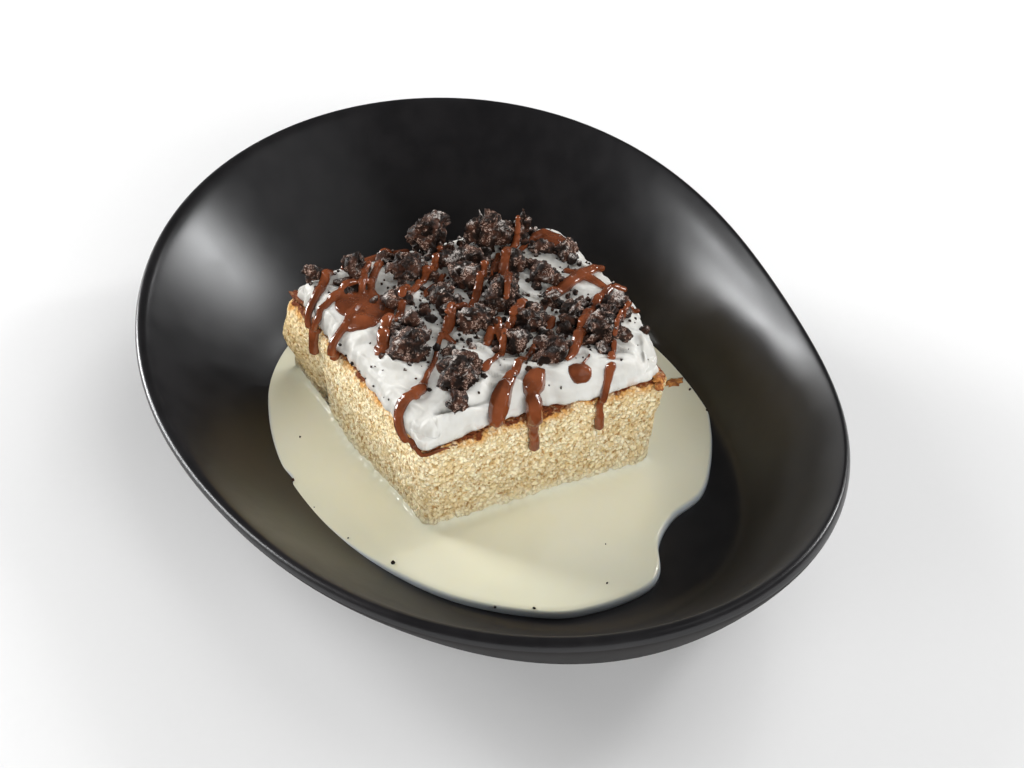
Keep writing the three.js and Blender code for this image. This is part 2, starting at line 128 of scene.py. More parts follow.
def setShader(tree, shader, values):
    for key, value in values.items():
        if isinstance(value, bpy.types.NodeSocket):
            tree.links.new(value, shader.inputs[key])
        else:
            shader.inputs[key].default_value = value


def colour(red, green, blue):
    return (red, green, blue, 1.0)


# Piece building


def addPiece(name, shape, material, replaced=()):
    bmesh.ops.transform(shape, matrix=toMetres, verts=shape.verts)
    for face in shape.faces:
        face.smooth = True
    mesh = bpy.data.meshes.new(name)
    shape.to_mesh(mesh)
    shape.free()
    mesh.materials.append(material)
    piece = bpy.data.objects.new(name, mesh)
    scene.collection.objects.link(piece)
    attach(piece, "root")
    if replaced:
        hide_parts(*replaced)
    return piece


def nodeShape(*names):
    shape = bmesh.new()
    for name in names:
        shape.from_mesh(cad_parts[name].data)
    bmesh.ops.transform(shape, matrix=toMillimetres, verts=shape.verts)
    bmesh.ops.remove_doubles(shape, verts=shape.verts, dist=0.001)
    return shape


# Fuses whatever overlaps in a shape into one even skin.
def fused(shape, voxel, smoothings):
    mesh = bpy.data.meshes.new("fusing")
    shape.to_mesh(mesh)
    shape.free()
    helper = bpy.data.objects.new("fusing", mesh)
    scene.collection.objects.link(helper)
    remesh = helper.modifiers.new("fuse", "REMESH")
    remesh.mode = "VOXEL"
    remesh.voxel_size = voxel
    if smoothings:
        smooth = helper.modifiers.new("soften", "SMOOTH")
        smooth.factor = 0.5
        smooth.iterations = smoothings
    depsgraph = bpy.context.evaluated_depsgraph_get()
    result = bmesh.new()
    result.from_mesh(helper.evaluated_get(depsgraph).to_mesh())
    bpy.data.objects.remove(helper)
    bpy.data.meshes.remove(mesh)
    return result


# Sheet of rings: the first loop is a circle, and each next one is extruded from the last.
def ringShape(rings):
    shape = bmesh.new()
    count = len(rings[0])
    loop = bmesh.ops.create_circle(shape, segments=count, radius=1)["verts"]
    for vert, place in zip(loop, rings[0]):
        vert.co = place
    for ring in rings[1:]:
        edges = [shape.edges.get((loop[k], loop[(k + 1) % count])) for k in range(count)]
        grown = bmesh.ops.extrude_edge_only(shape, edges=edges)["geom"]
        fresh = {vert for vert in grown if isinstance(vert, bmesh.types.BMVert)}
        loop = [next(edge.other_vert(vert) for edge in vert.link_edges if edge.other_vert(vert) in fresh)
                for vert in loop]
        for vert, place in zip(loop, ring):
            vert.co = place
    return shape


def topAt(x, y, trees):
    heights = [tree.ray_cast(Vector((x, y, 90)), Vector((0, 0, -1)))[0] for tree in trees]
    heights = [hit.z for hit in heights if hit]
    return max(heights) if heights else None


def ease(value, low, high):
    share = min(max((value - low) / (high - low), 0.0), 1.0)
    return share * share * (3 - 2 * share)


def bell(value, width):
    return math.exp(-(value / width) ** 2)


# Bowl

bowlLook = {
    "glaze": colour(0.0066, 0.0062, 0.0068),
    "worn": colour(0.0105, 0.0098, 0.0105),
    "roughness": (0.275, 0.315),
    # the low front wall is rubbed dull
    "rubbed": 0.32,
    # outside the glaze is thin and dull
    "thin": colour(0.0095, 0.0080, 0.0078),
    "dull": 0.75,
    "smoothing": 2,
}


def glazeMaterial():
    material, tree, shader, place = newMaterial("blackGlaze")
    low, high = bowlLook["roughness"]
    cloud = addNoise(tree, place, 38, 5)
    smear = addNoise(tree, place, 150, 4)
    peel = addNoise(tree, place, 900, 2)
    both = addMath(tree, "ADD", addMath(tree, "MULTIPLY", cloud, 0.65), addMath(tree, "MULTIPLY", smear, 0.35))
    facing = addNode(tree, "ShaderNodeNewGeometry").outputs["Normal"]
    leaning = addNode(tree, "ShaderNodeSeparateXYZ", {"Vector": facing})
    height = addNode(tree, "ShaderNodeSeparateXYZ", {"Vector": place}).outputs["Z"]
    aboveFoot = addRange(tree, height, 0.0038, 0.0048)
    inside = addMath(tree, "MULTIPLY", addRange(tree, leaning.outputs["Z"], -0.3, 0.05), aboveFoot)
    rubbed = addRange(tree, leaning.outputs["Y"], 0.12, 0.42, 0, bowlLook["rubbed"])
    gloss = addMath(tree, "ADD", addRange(tree, both, 0.35, 0.65, low, high), rubbed)
    glaze = addMix(tree, addRange(tree, both, 0.35, 0.65), bowlLook["glaze"], bowlLook["worn"])
    setShader(tree, shader, {
        "Base Color": addMix(tree, inside, bowlLook["thin"], glaze),
        "Roughness": addMath(tree, "ADD", gloss, addRange(tree, inside, 0, 1, bowlLook["dull"] - low, 0)),
        "Specular IOR Level": 0.5,
        "Specular Tint": colour(0.97, 0.985, 1.0),
        "Normal": addBump(tree, peel, 0.00002, 0.5),
    })
    return material


def addBowl():
    shape = nodeShape("bowl")
    bmesh.ops.join_triangles(shape, faces=shape.faces, angle_face_threshold=0.6, angle_shape_threshold=1.2)
    piece = addPiece("bowlGlazed", shape, glazeMaterial(), ["bowl"])
    rounding = piece.modifiers.new("rounding", "SUBSURF")
    rounding.levels = bowlLook["smoothing"]
    rounding.render_levels = bowlLook["smoothing"]
    return piece


addBowl()
print("bowl made")

# Sponge

spongeLook = {
    "voxel": 0.9,
    "around": 800,
    "up": 78,
    "bottom": 5.9,
    "top": 38.3,
    "cap": 38.5,
    "lumps": {"size": 5.5, "height": 0.32},
    "pores": {"size": 1.5, "depth": 0.5},
    "holes": {"size": 4.2, "depth": 0.8},
    "grain": {"size": 0.75, "height": 0.24},
    "milkLevel": 8.2,
    "pale": colour(0.95, 0.865, 0.62),
    "straw": colour(0.87, 0.715, 0.43),
    # painted shade: the deeper tan that stands for shade down in the crumb's pores
    "poreShade": colour(0.52, 0.34, 0.13),
    # painted shade: dark specks that stand for small shaded pores
    "speck": colour(0.40, 0.20, 0.06),
    "soaked": colour(0.86, 0.79, 0.57),
    "baked": colour(0.62, 0.30, 0.075),
    "torn": colour(0.93, 0.66, 0.30),
    "crust": colour(0.15, 0.038, 0.013),
}


def spongeMaterial():
    material, tree, shader, place = newMaterial("spongeCrumb")
    look = spongeLook
    poreShade = addNode(tree, "ShaderNodeAttribute", attribute_name="poreShade").outputs["Fac"]
    parts = addNode(tree, "ShaderNodeSeparateXYZ", {"Vector": place})
    height = parts.outputs["Z"]
    patches = addNoise(tree, place, 250, 4, 0.65)
    crumb = addNoise(tree, place, 640, 3, 0.7)
    fleck = addNoise(tree, place, 640, 2)
    cells = addNode(tree, "ShaderNodeTexVoronoi", {"Vector": place, "Scale": 820, "Randomness": 1.0})
    gaps = addRange(tree, cells.outputs["Distance"], 0.35, 0.75)
    body = addMix(tree, addRange(tree, patches, 0.36, 0.64), look["pale"], look["straw"])
    body = addMix(tree, addRange(tree, parts.outputs["Y"], 0.028, 0.052, 0, 0.5), body, look["torn"])
    # painted shade in the pores: the pore colour goes into random crumb patches, into the cell gaps that the bump
    # sinks, and where pores and holes are carved
    body = addMix(tree, addRange(tree, crumb, 0.5, 0.62, 0, 0.65), body, look["poreShade"])
    body = addMix(tree, addMath(tree, "MULTIPLY", gaps, 0.5), body, look["poreShade"])
    body = addMix(tree, addRange(tree, poreShade, 0.15, 0.9, 0, 0.8), body, look["poreShade"])
    # painted shade: random dark specks standing for small pores
    body = addMix(tree, addRange(tree, fleck, 0.6, 0.68, 0, 0.75), body, look["speck"])
    wander = addMath(tree, "MULTIPLY", patches, 0.006)
    soakedTo = addMath(tree, "ADD", height, wander)
    body = addMix(tree, addRange(tree, soakedTo, 0.0115, 0.0165, 0.7, 0), body, look["soaked"])
    long = addNoise(tree, place, 75, 2)
    short = addNoise(tree, place, 420, 2)
    waves = addMath(tree, "ADD", addMath(tree, "MULTIPLY", long, 0.005), addMath(tree, "MULTIPLY", short, 0.0026))
    crustAt = addMath(tree, "ADD", height, waves)
    toasted = addMath(tree, "MULTIPLY", addRange(tree, crustAt, 0.0385, 0.0412), addRange(tree, patches, 0.4, 0.58, 0.3, 1))
    body = addMix(tree, toasted, body, look["baked"])
    line = addMath(tree, "MULTIPLY", addRange(tree, crustAt, 0.0408, 0.0414), addRange(tree, fleck, 0.35, 0.5, 0.7, 1))
    body = addMix(tree, line, body, look["crust"])
    relief = addMath(tree, "ADD", addMath(tree, "MULTIPLY", crumb, 0.6), addMath(tree, "MULTIPLY", gaps, -0.4))
    setShader(tree, shader, {
        "Base Color": body,
        "Roughness": addRange(tree, height, 0.009, 0.012, 0.38, 0.85),
        "Specular IOR Level": 0.3,
        "Subsurface Weight": 0.12,
        "Subsurface Radius": (0.0009, 0.0006, 0.0003),
        "Subsurface Scale": 1.0,
        "Normal": addBump(tree, relief, 0.0011, 1.0),
    })
    return material


# Evenly spaced points round a tree's outline at a height, each with its outward direction.
def outlineAt(tree, middle, height, count):
    rough = []
    for k in range(2 * count):
        angle = math.tau * k / (2 * count)
        direction = Vector((math.cos(angle), math.sin(angle), 0))
        far = Vector((middle[0], middle[1], height)) + direction * 90
        rough.append(tree.ray_cast(far, -direction)[0])
    lengths = [0.0]
    for k, point in enumerate(rough):
        lengths.append(lengths[-1] + (rough[(k + 1) % len(rough)] - point).length)
    points = []
    place = 0
    for k in range(count):
        target = lengths[-1] * k / count
        while lengths[place + 1] < target:
            place += 1
        share = (target - lengths[place]) / (lengths[place + 1] - lengths[place])
        points.append(rough[place].lerp(rough[(place + 1) % len(rough)], share))
    outline = []
    for k, point in enumerate(points):
        along = points[(k + 6) % count] - points[k - 6]
        outline.append((point, Vector((along.y, -along.x, 0)).normalized()))
    return outline


def crumbDepth(place):
    look = spongeLook
    dry = ease(place.z, look["milkLevel"] + 0.5, look["milkLevel"] + 5)
    pore = noise.voronoi(place / look["pores"]["size"])[0][0]
    hole = noise.voronoi(place / look["holes"]["size"] + Vector((7, 3, 1)))[0][0]
    warp = 0.12 * noise.noise(place / 0.8)
    small = 1 - ease(pore + warp, 0.2, 0.5)
    large = 1 - ease(hole + warp, 0.08, 0.24)
    lumps = noise.fractal(place / look["lumps"]["size"], 0.8, 2.1, 3) * look["lumps"]["height"]
    grain = noise.fractal(place / look["grain"]["size"], 0.8, 2.1, 2) * look["grain"]["height"]
    # how deep the pores and holes are carved here, kept for painting shade in them
    poreShade = min(1.0, 0.65 * small + 0.8 * large)
    depth = small * look["pores"]["depth"] + large * look["holes"]["depth"]
    worn = 0.3 + 0.7 * dry
    return lumps + worn * (grain - depth), poreShade * worn


def addSponge():
    look = spongeLook
    block = fused(nodeShape("sponge"), look["voxel"], 8)
    tree = BVHTree.FromBMesh(block)
    block.free()
    around, up = look["around"], look["up"]
    middle = (4, 10)
    outline = outlineAt(tree, middle, 24, around)
    shape = bmesh.new()
    bmesh.ops.create_grid(shape, x_segments=around, y_segments=up, size=0.5)
    poreShades = shape.verts.layers.float.new("poreShade")
    for vert in shape.verts:
        k = round((vert.co.x + 0.5) * around) % around
        height = look["bottom"] + (look["top"] - look["bottom"]) * (vert.co.y + 0.5)
        point, outward = outline[k]
        start = Vector((point.x, point.y, height)) + outward * 14
        hit = tree.ray_cast(start, -outward)[0]
        place = hit if hit else Vector((point.x, point.y, height))
        move, vert[poreShades] = crumbDepth(place)
        # the light grazes the left side, where the crumb is finer
        vert.co = place + outward * move * (1 - 0.45 * ease(-outward.x, 0.2, 0.8))
    bmesh.ops.remove_doubles(shape, verts=shape.verts, dist=0.0005)
    for height, level in ((look["bottom"], "low"), (look["cap"], "high")):
        rim = [edge for edge in shape.edges if edge.is_boundary
               and (edge.verts[0].co.z < 20) == (level == "low")]
        grown = bmesh.ops.extrude_edge_only(shape, edges=rim)["geom"]
        for vert in grown:
            if isinstance(vert, bmesh.types.BMVert):
                vert.co.x += 0.12 * (middle[0] - vert.co.x)
                vert.co.y += 0.12 * (middle[1] - vert.co.y)
                vert.co.z = height
        bmesh.ops.contextual_create(shape, geom=[edge for edge in grown if isinstance(edge, bmesh.types.BMEdge)])
    bmesh.ops.recalc_face_normals(shape, faces=shape.faces)
    tree = BVHTree.FromBMesh(shape)
    addPiece("spongeSlice", shape, spongeMaterial(), ["sponge"])
    return tree


spongeTree = addSponge()
print("sponge made")

# Milk

milkLook = {
    "level": 8.2,
    "floor": 5.1,
    # how far the rim reaches into the bowl's wall: below the wall's surface, and above the milk's level
    "sunk": 1.0,
    "beyond": 0.8,
    "centre": (4, 4),
    "directions": 420,
    "edge": [(0, 0), (0.1, 0.45), (0.3, 0.72), (0.65, 0.9), (1.2, 0.97), (3.0, 1.0)],
    "climb": 1.7,
    "creep": 1.4,
    "body": colour(0.785, 0.765, 0.585),
    "pale": colour(0.82, 0.81, 0.68),
    "thin": colour(0.60, 0.66, 0.72),
    "shore": [
        (-52, 57), (-60, 34), (-64, 12), (-63, 3), (-66, -5), (-62, -21), (-54, -43), (-39, -67),
        (-18, -84), (-3, -88), (13, -86.5), (21, -81), (26.5, -70), (36, -61), (49, -55), (59, -43),
        (68, -27), (73, -12), (74, 12), (70, 42), (54, 66), (22, 80), (-14, 82), (-40, 72),
    ],
}


# Closed smooth curve through points in plan, as close points.
def smoothLoop(points, steps):
    loop = []
    count = len(points)
    for k in range(count):
        before, start, end, after = (Vector(points[(k + shift) % count]) for shift in (-1, 0, 1, 2))
        for step in range(steps):
            t = step / steps
            loop.append(0.5 * (2 * start + (end - before) * t
                               + (2 * before - 5 * start + 4 * end - after) * t * t
                               + (3 * start - before - 3 * end + after) * t ** 3))
    return loop


# Distance from a centre to a loop along each direction.
def loopRadii(loop, centre, count):
    polar = sorted((math.atan2(point.y - centre.y, point.x - centre.x), (point - centre).length)
                   for point in loop)
    polar = [(polar[-1][0] - math.tau, polar[-1][1])] + polar + [(polar[0][0] + math.tau, polar[0][1])]
    radii = []
    place = 0
    for k in range(count):
        angle = -math.pi + math.tau * k / count
        while polar[place + 1][0] < angle:
            place += 1
        (low, first), (high, second) = polar[place], polar[place + 1]
        radii.append(first + (second - first) * (angle - low) / (high - low))
    return radii


def milkMaterial():
    material, tree, shader, place = newMaterial("milk")
    thin = addNode(tree, "ShaderNodeAttribute", attribute_name="thin").outputs["Fac"]
    cloud = addNoise(tree, place, 28, 3)
    body = addMix(tree, addRange(tree, cloud, 0.3, 0.7, 0, 0.5), milkLook["body"], milkLook["pale"])
    body = addMix(tree, thin, body, milkLook["thin"])
    setShader(tree, shader, {
        "Base Color": body,
        "Roughness": addRange(tree, cloud, 0.3, 0.7, 0.07, 0.12),
        "IOR": 1.36,
        "Subsurface Weight": 0.3,
        "Subsurface Radius": (0.0012, 0.001, 0.0007),
        "Subsurface Scale": 1.0,
        "Normal": addBump(tree, addNoise(tree, place, 60, 2), 0.0003, 0.4),
    })
    return material


def addMilk():
    look = milkLook
    centre = Vector(look["centre"])
    shore = loopRadii(smoothLoop(look["shore"], 24), centre, look["directions"])
    bowlShape = nodeShape("bowl")
    bowlTree = BVHTree.FromBMesh(bowlShape)
    bowlShape.free()
    rings = []
    directions = []
    foot = []
    lowest = []
    for k, radius in enumerate(shore):
        angle = -math.pi + math.tau * k / look["directions"]
        direction = Vector((math.cos(angle), math.sin(angle), 0))
        far = Vector((centre.x, centre.y, look["level"] + 0.6)) + direction * 90
        hit = spongeTree.ray_cast(far, -direction)[0]
        directions.append(direction)
        foot.append((Vector((hit.x, hit.y)) - centre).length if hit else radius - 12)
        wall = topAt(centre.x + direction.x * radius, centre.y + direction.y * radius, [bowlTree])
        while wall > look["level"] + look["beyond"]:
            radius -= 0.2
            wall = topAt(centre.x + direction.x * radius, centre.y + direction.y * radius, [bowlTree])
        shore[k] = radius
        lowest.append(max(look["floor"], wall - look["sunk"]))
    foot = [(foot[k - 2] + foot[k - 1] + foot[k] + foot[(k + 1) % len(foot)] + foot[(k + 2) % len(foot)]) / 5
            for k in range(len(foot))]
    middle = Vector((centre.x, centre.y, 0))
    for offset, lift in look["edge"]:
        rings.append([middle + direction * (radius - offset) + Vector((0, 0, low + (look["level"] - low) * lift))
                      for direction, radius, low in zip(directions, shore, lowest)])
    for share in (0.25, 0.5, 0.75):
        rings.append([middle + direction * (radius - 3 + (inner + 4.5 - radius + 3) * share)
                      + Vector((0, 0, look["level"]))
                      for direction, radius, inner in zip(directions, shore, foot)])
    for gap in (4.5, 3.0, 2.2, 1.6, 1.1, 0.7, 0.35, 0.0, -1.5):
        rise = look["climb"] * math.exp(-max(gap, 0) / look["creep"])
        rings.append([middle + direction * (inner + gap)
                      + Vector((0, 0, look["level"] + rise * (1 + 0.6 * noise.noise(direction * inner / 2.2))))
                      for direction, inner in zip(directions, foot)])
    rings.append([middle + direction * (inner - 1.5) + Vector((0, 0, look["floor"] - 0.2))
                  for direction, inner in zip(directions, foot)])
    shape = ringShape(rings)
    outer = [vert for vert in shape.verts if vert.is_boundary]
    edges = [edge for edge in shape.edges if edge.is_boundary]
    bmesh.ops.bridge_loops(shape, edges=edges)
    bmesh.ops.recalc_face_normals(shape, faces=shape.faces)
    thin = shape.verts.layers.float.new("thin")
    rim = set(outer)
    for vert in shape.verts:
        flat = Vector((vert.co.x, vert.co.y))
        direction = flat - centre
        k = round((math.atan2(direction.y, direction.x) + math.pi) / math.tau * look["directions"])
        inward = shore[k % look["directions"]] - direction.length
        vert[thin] = 0.85 * (1 - ease(inward, 0.1, 1.1)) if vert.co.z > look["floor"] + 0.1 or vert in rim else 0.85
    return addPiece("milkPool", shape, milkMaterial(), ["milk"])


addMilk()
print("milk made")

# Cream: the same slab as the solid's, with the knife's marks.

creamLook = {
    "underside": 38.6,
    "thickness": 8,
    "edgeThickness": 2.8,
    "shoulder": 9,
    "width": 86,
    "depth": 94,
    # round corners: where, across and along, and their radius
    "round": [(86, 94, 14), (86, 0, 10), (0, 0, 3.5), (0, 94, 5)],
    "cells": (200, 216),
    "corners": {"near": (-35.5, -38), "right": (48.5, -33.5), "back": (50.5, 57), "left": (-43.5, 56)},
    "left": [(0, 0.4), (0.2, 0.8), (0.45, 1.6), (0.7, 0.8), (1, 2.5)],
    "right": [(0, 3), (0.17, 0.3), (0.36, -2.8), (0.55, -2), (0.75, 0), (1, 1.5)],
    "front": [(0, 0.4), (0.3, 2.8), (0.5, 3.6), (0.66, 0.3), (0.8, 0.3), (1, 1)],
    "back": [(0, 1.5), (0.5, 0.5), (1, 1.5)],
    # marks of the knife: a line in plan, its height and width, the share of the width on the steep side at
    # the line's left, and how far it fades at its ends
    "marks": [
        {"from": (-29.5, -35.3), "to": (-11, -34), "height": 2.3, "width": 2.6, "steep": 0.75, "fade": (0, 0.5)},
        {"from": (-27, -31.8), "to": (-12, -30), "height": -1.7, "width": 1.5, "steep": 0.9, "fade": (0.1, 0.4)},
        {"from": (-33, -33), "to": (-32.5, -27), "height": -0.9, "width": 2.2, "steep": 0.8},
        {"from": (-7, -19), "to": (-13, -28), "height": 1.1, "width": 4.0, "steep": 0.35},
        {"from": (20, -34.5), "to": (-5, -18), "height": 1.3, "width": 5.5, "steep": 0.14},
        {"from": (12.5, -36), "to": (4, -31), "height": 0.8, "width": 3.5, "steep": 0.2},
        {"from": (38.5, -33.5), "to": (24, -30), "height": 1.3, "width": 4.5, "steep": 0.16},
        {"from": (41.5, -25), "to": (39, -33), "height": -1.2, "width": 1.6, "steep": 0.5},
        {"from": (44.5, -20), "to": (43, -31), "height": 1.0, "width": 2.0, "steep": 0.6},
        {"from": (28, -28), "to": (34, -31), "height": -0.6, "width": 1.2, "steep": 0.4},
        {"from": (26, -21), "to": (42, -19), "height": 0.9, "width": 3.4, "steep": 0.3},
        {"from": (-30.5, 11), "to": (-37, 13), "height": 0.9, "width": 4.0, "steep": 0.16},
        {"from": (-26, -14), "to": (-34, 3), "height": 1.2, "width": 5.0, "steep": 0.3},
        {"from": (-34, -12), "to": (-37, 6), "height": -0.7, "width": 2.0, "steep": 0.5},
        {"from": (-39, 13), "to": (-34, -5), "height": 0.7, "width": 2.6, "steep": 0.4},
        {"from": (-33, -26), "to": (-35, -8), "height": 0.8, "width": 2.6, "steep": 0.3},
        {"from": (-41, 42), "to": (-38, 24), "height": 0.8, "width": 2.4, "steep": 0.35},
        {"from": (41, 12), "to": (46, 34), "height": 0.8, "width": 2.4, "steep": 0.5},
        {"from": (44, -14), "to": (48, 8), "height": 0.9, "width": 2.6, "steep": 0.4},
        {"from": (-6, -23), "to": (3, -31), "height": 0.7, "width": 3.0, "steep": 0.25},
    ],
    "white": colour(0.645, 0.64, 0.605),
    "hollow": colour(0.58, 0.565, 0.52),
    # painted shade: the darker cream used where the surface faces left
    "leftFacingShade": colour(0.455, 0.445, 0.41),
    "stained": colour(0.50, 0.36, 0.28),
}


def onCream(across, along):
    near, right, back, left = (Vector(creamLook["corners"][key]) for key in ("near", "right", "back", "left"))
    return near.lerp(right, across).lerp(left.lerp(back, across), along)


# Value at a share of the way, eased between the listed pairs of share and value.
def easedAlong(pairs, share):
    for (start, before), (end, after) in zip(pairs, pairs[1:]):
        if share <= end:
            return before + (after - before) * ease(share, start, end)
    return pairs[-1][1]


# Pulls the square corners of the slab in to round ones.
def intoCorners(across, along):
    for cornerX, cornerY, reach in creamLook["round"]:
        outwardX, outwardY = (1 if cornerX else -1), (1 if cornerY else -1)
        x = reach - outwardX * (cornerX - across)
        y = reach - outwardY * (cornerY - along)
        if x > 0 and y > 0:
            shrink = max(x, y) / math.hypot(x, y) - 1
            across += outwardX * x * shrink
            along += outwardY * y * shrink
    return across, along


def markHeight(mark, x, y):
    start, end = Vector(mark["from"]), Vector(mark["to"])
    along = end - start
    toPoint = Vector((x, y)) - start
    share = toPoint.dot(along) / along.length_squared
    beyond = max(-share, share - 1, 0) * along.length
    side = (along.x * toPoint.y - along.y * toPoint.x) / along.length
    width = mark["width"] * (1 if side < 0 else mark["steep"])
    first, last = mark.get("fade", (0.35, 0.35))
    fade = ease(share, -0.01, 0.01 + first) * (1 - ease(share, 0.99 - last, 1.01))
    return 1.7 * mark["height"] * bell(side, width) * bell(beyond, 1.6) * (0.3 + 0.7 * fade)


# Height of the cream's top above its underside, at distances from its nearest sides.
def creamHeight(x, y, edgeX, edgeY):
    look = creamLook
    shoulder = look["shoulder"] * (1 + 0.3 * noise.noise(Vector((x / 12, y / 12, 5))))
    nearX, nearY = (max(0.0, 1 - edge / shoulder) for edge in (edgeX, edgeY))
    near = min(1.0, math.hypot(nearX, nearY))
    rounded = math.sqrt(1 - near ** 2.2)
    body = look["edgeThickness"] + (look["thickness"] - look["edgeThickness"]) * rounded
    uneven = 0.5 * noise.fractal(Vector((x / 9, y / 9, 11)), 0.9, 2.0, 2)
    sweep = 0.85 * x + 0.53 * y
    ripple = 0.55 * math.sin(sweep / 2.9 + math.sin(y / 9)) + 0.45 * math.sin((x - y) / 6.3 + 1)
    marks = sum(markHeight(mark, x, y) for mark in look["marks"])
    return body + uneven + ripple * (1 - near) + marks * (0.25 + 0.75 * rounded)


def knifeMarks(x, y):
    warp = noise.noise(Vector((x / 14, y / 14, 3)))
    stroke = (0.85 * x + 0.53 * y + 6 * warp) / 5.2
    saw = stroke - math.floor(stroke)
    crease = (1 - saw) ** 2 * ease(saw, 0, 0.12)
    patch = ease(noise.noise(Vector((x / 10, y / 13, 8))), -0.2, 0.35)
    soft = 0.3 * noise.fractal(Vector((x / 3.6, y / 3.6, 1)), 0.9, 2.0, 3)
    return 1.4 * crease * patch + soft


def creamMaterial():
    material, tree, shader, place = newMaterial("whippedCream")
    look = creamLook
    height = addNode(tree, "ShaderNodeSeparateXYZ", {"Vector": place}).outputs["Z"]
    cloud = addNoise(tree, place, 140, 3)
    fine = addNoise(tree, place, 900, 3)
    body = addMix(tree, addRange(tree, cloud, 0.35, 0.7, 0, 0.8), look["white"], look["hollow"])
    leftward = addNode(tree, "ShaderNodeSeparateXYZ",
                       {"Vector": addNode(tree, "ShaderNodeNewGeometry").outputs["Normal"]}).outputs["X"]
    # painted shade: the cream turns darker where its surface faces left
    body = addMix(tree, addRange(tree, leftward, -0.8, -0.25, 1, 0), body, look["leftFacingShade"])
    low = addRange(tree, height, 0.0388, 0.0425, 1, 0)
    smear = addRange(tree, addNoise(tree, place, 330, 3), 0.52, 0.66, 0, 0.7)
    body = addMix(tree, addMath(tree, "MULTIPLY", low, smear), body, look["stained"])
    setShader(tree, shader, {
        "Base Color": body,
        "Roughness": addRange(tree, cloud, 0.3, 0.7, 0.4, 0.52),
        "Specular IOR Level": 0.35,
        "Subsurface Weight": 0.25,
        "Subsurface Radius": (0.002, 0.0018, 0.0015),
        "Subsurface Scale": 1.0,
        "Normal": addBump(tree, fine, 0.00008, 0.6),
    })
    return material


def addCream():
    look = creamLook
    width, depth = look["width"], look["depth"]
    shape = bmesh.new()
    bmesh.ops.create_grid(shape, x_segments=look["cells"][0], y_segments=look["cells"][1], size=0.5)
    rim = [edge for edge in shape.edges if edge.is_boundary]
    for vert in shape.verts:
        u, v = vert.co.x + 0.5, vert.co.y + 0.5
        u -= 0.1 * math.sin(math.tau * u)
        v -= 0.1 * math.sin(math.tau * v)
        west, east = easedAlong(look["left"], v), width - easedAlong(look["right"], v)
        south, north = easedAlong(look["front"], u), depth - easedAlong(look["back"], u)
        across, along = intoCorners(west + (east - west) * u, south + (north - south) * v)
        edgeX, edgeY = min(u, 1 - u) * width, min(v, 1 - v) * depth
        edge = min(edgeX, edgeY)
        plan = onCream(across / width, along / depth)
        scallop = 0.9 * noise.fractal(Vector((plan.x / 5, plan.y / 5, 2)), 0.8, 2.0, 3) * (1 - ease(edge, 0, 5))
        outward = (plan - onCream(0.5, 0.5)).normalized()
        plan += outward * scallop
        top = creamHeight(plan.x, plan.y, edgeX, edgeY) + knifeMarks(plan.x, plan.y) * ease(edge, 1, 6)
        vert.co = (plan.x, plan.y, look["underside"] + top)
    middle = onCream(0.5, 0.5)
    for share, out in ((0.2, 0.4), (0.3, 0.3), (0.5, 0.1), (1.0, -0.6)):
        grown = bmesh.ops.extrude_edge_only(shape, edges=rim)["geom"]
        fresh = [vert for vert in grown if isinstance(vert, bmesh.types.BMVert)]
        rim = [edge for edge in grown if isinstance(edge, bmesh.types.BMEdge)]
        for vert in fresh:
            outward = (Vector((vert.co.x, vert.co.y)) - middle).normalized()
            bulge = out * (1 + 1.3 * noise.noise(vert.co / 3.5))
            vert.co.x += outward.x * bulge
            vert.co.y += outward.y * bulge
            vert.co.z += (look["underside"] - vert.co.z) * share
    bmesh.ops.contextual_create(shape, geom=rim)
    bmesh.ops.recalc_face_normals(shape, faces=shape.faces)
    tree = BVHTree.FromBMesh(shape)
    addPiece("creamTop", shape, creamMaterial(), ["cream"])
    return tree


creamTree = addCream()
print("cream made")

# Cookie pieces

cookieLook = {
    "voxel": 0.42,
    "facet": {"size": 5.6, "tilt": 0.62},
    "chip": {"size": 1.9, "tilt": 0.42},
    "crevice": {"size": 4.4, "depth": 0.36},
    "grit": {"size": 0.8, "height": 0.32},
    "dark": colour(0.011, 0.007, 0.0055),
    "brown": colour(0.062, 0.026, 0.016),
    "grain": colour(0.44, 0.31, 0.25),
    "cream": colour(0.58, 0.53, 0.49),
}

rubbleLook = {
    "seed": 11,
    "count": 260,
    "sizes": (0.9, 2.5),
    "reach": 3.6,
    "inset": 0.11,
    "voxel": 0.48,
    # where, in plan, and the radius
    "placed": [(-20.5, -20, 2.6), (-21.5, -24, 1.9), (-17.5, -17.5, 1.8)],
}


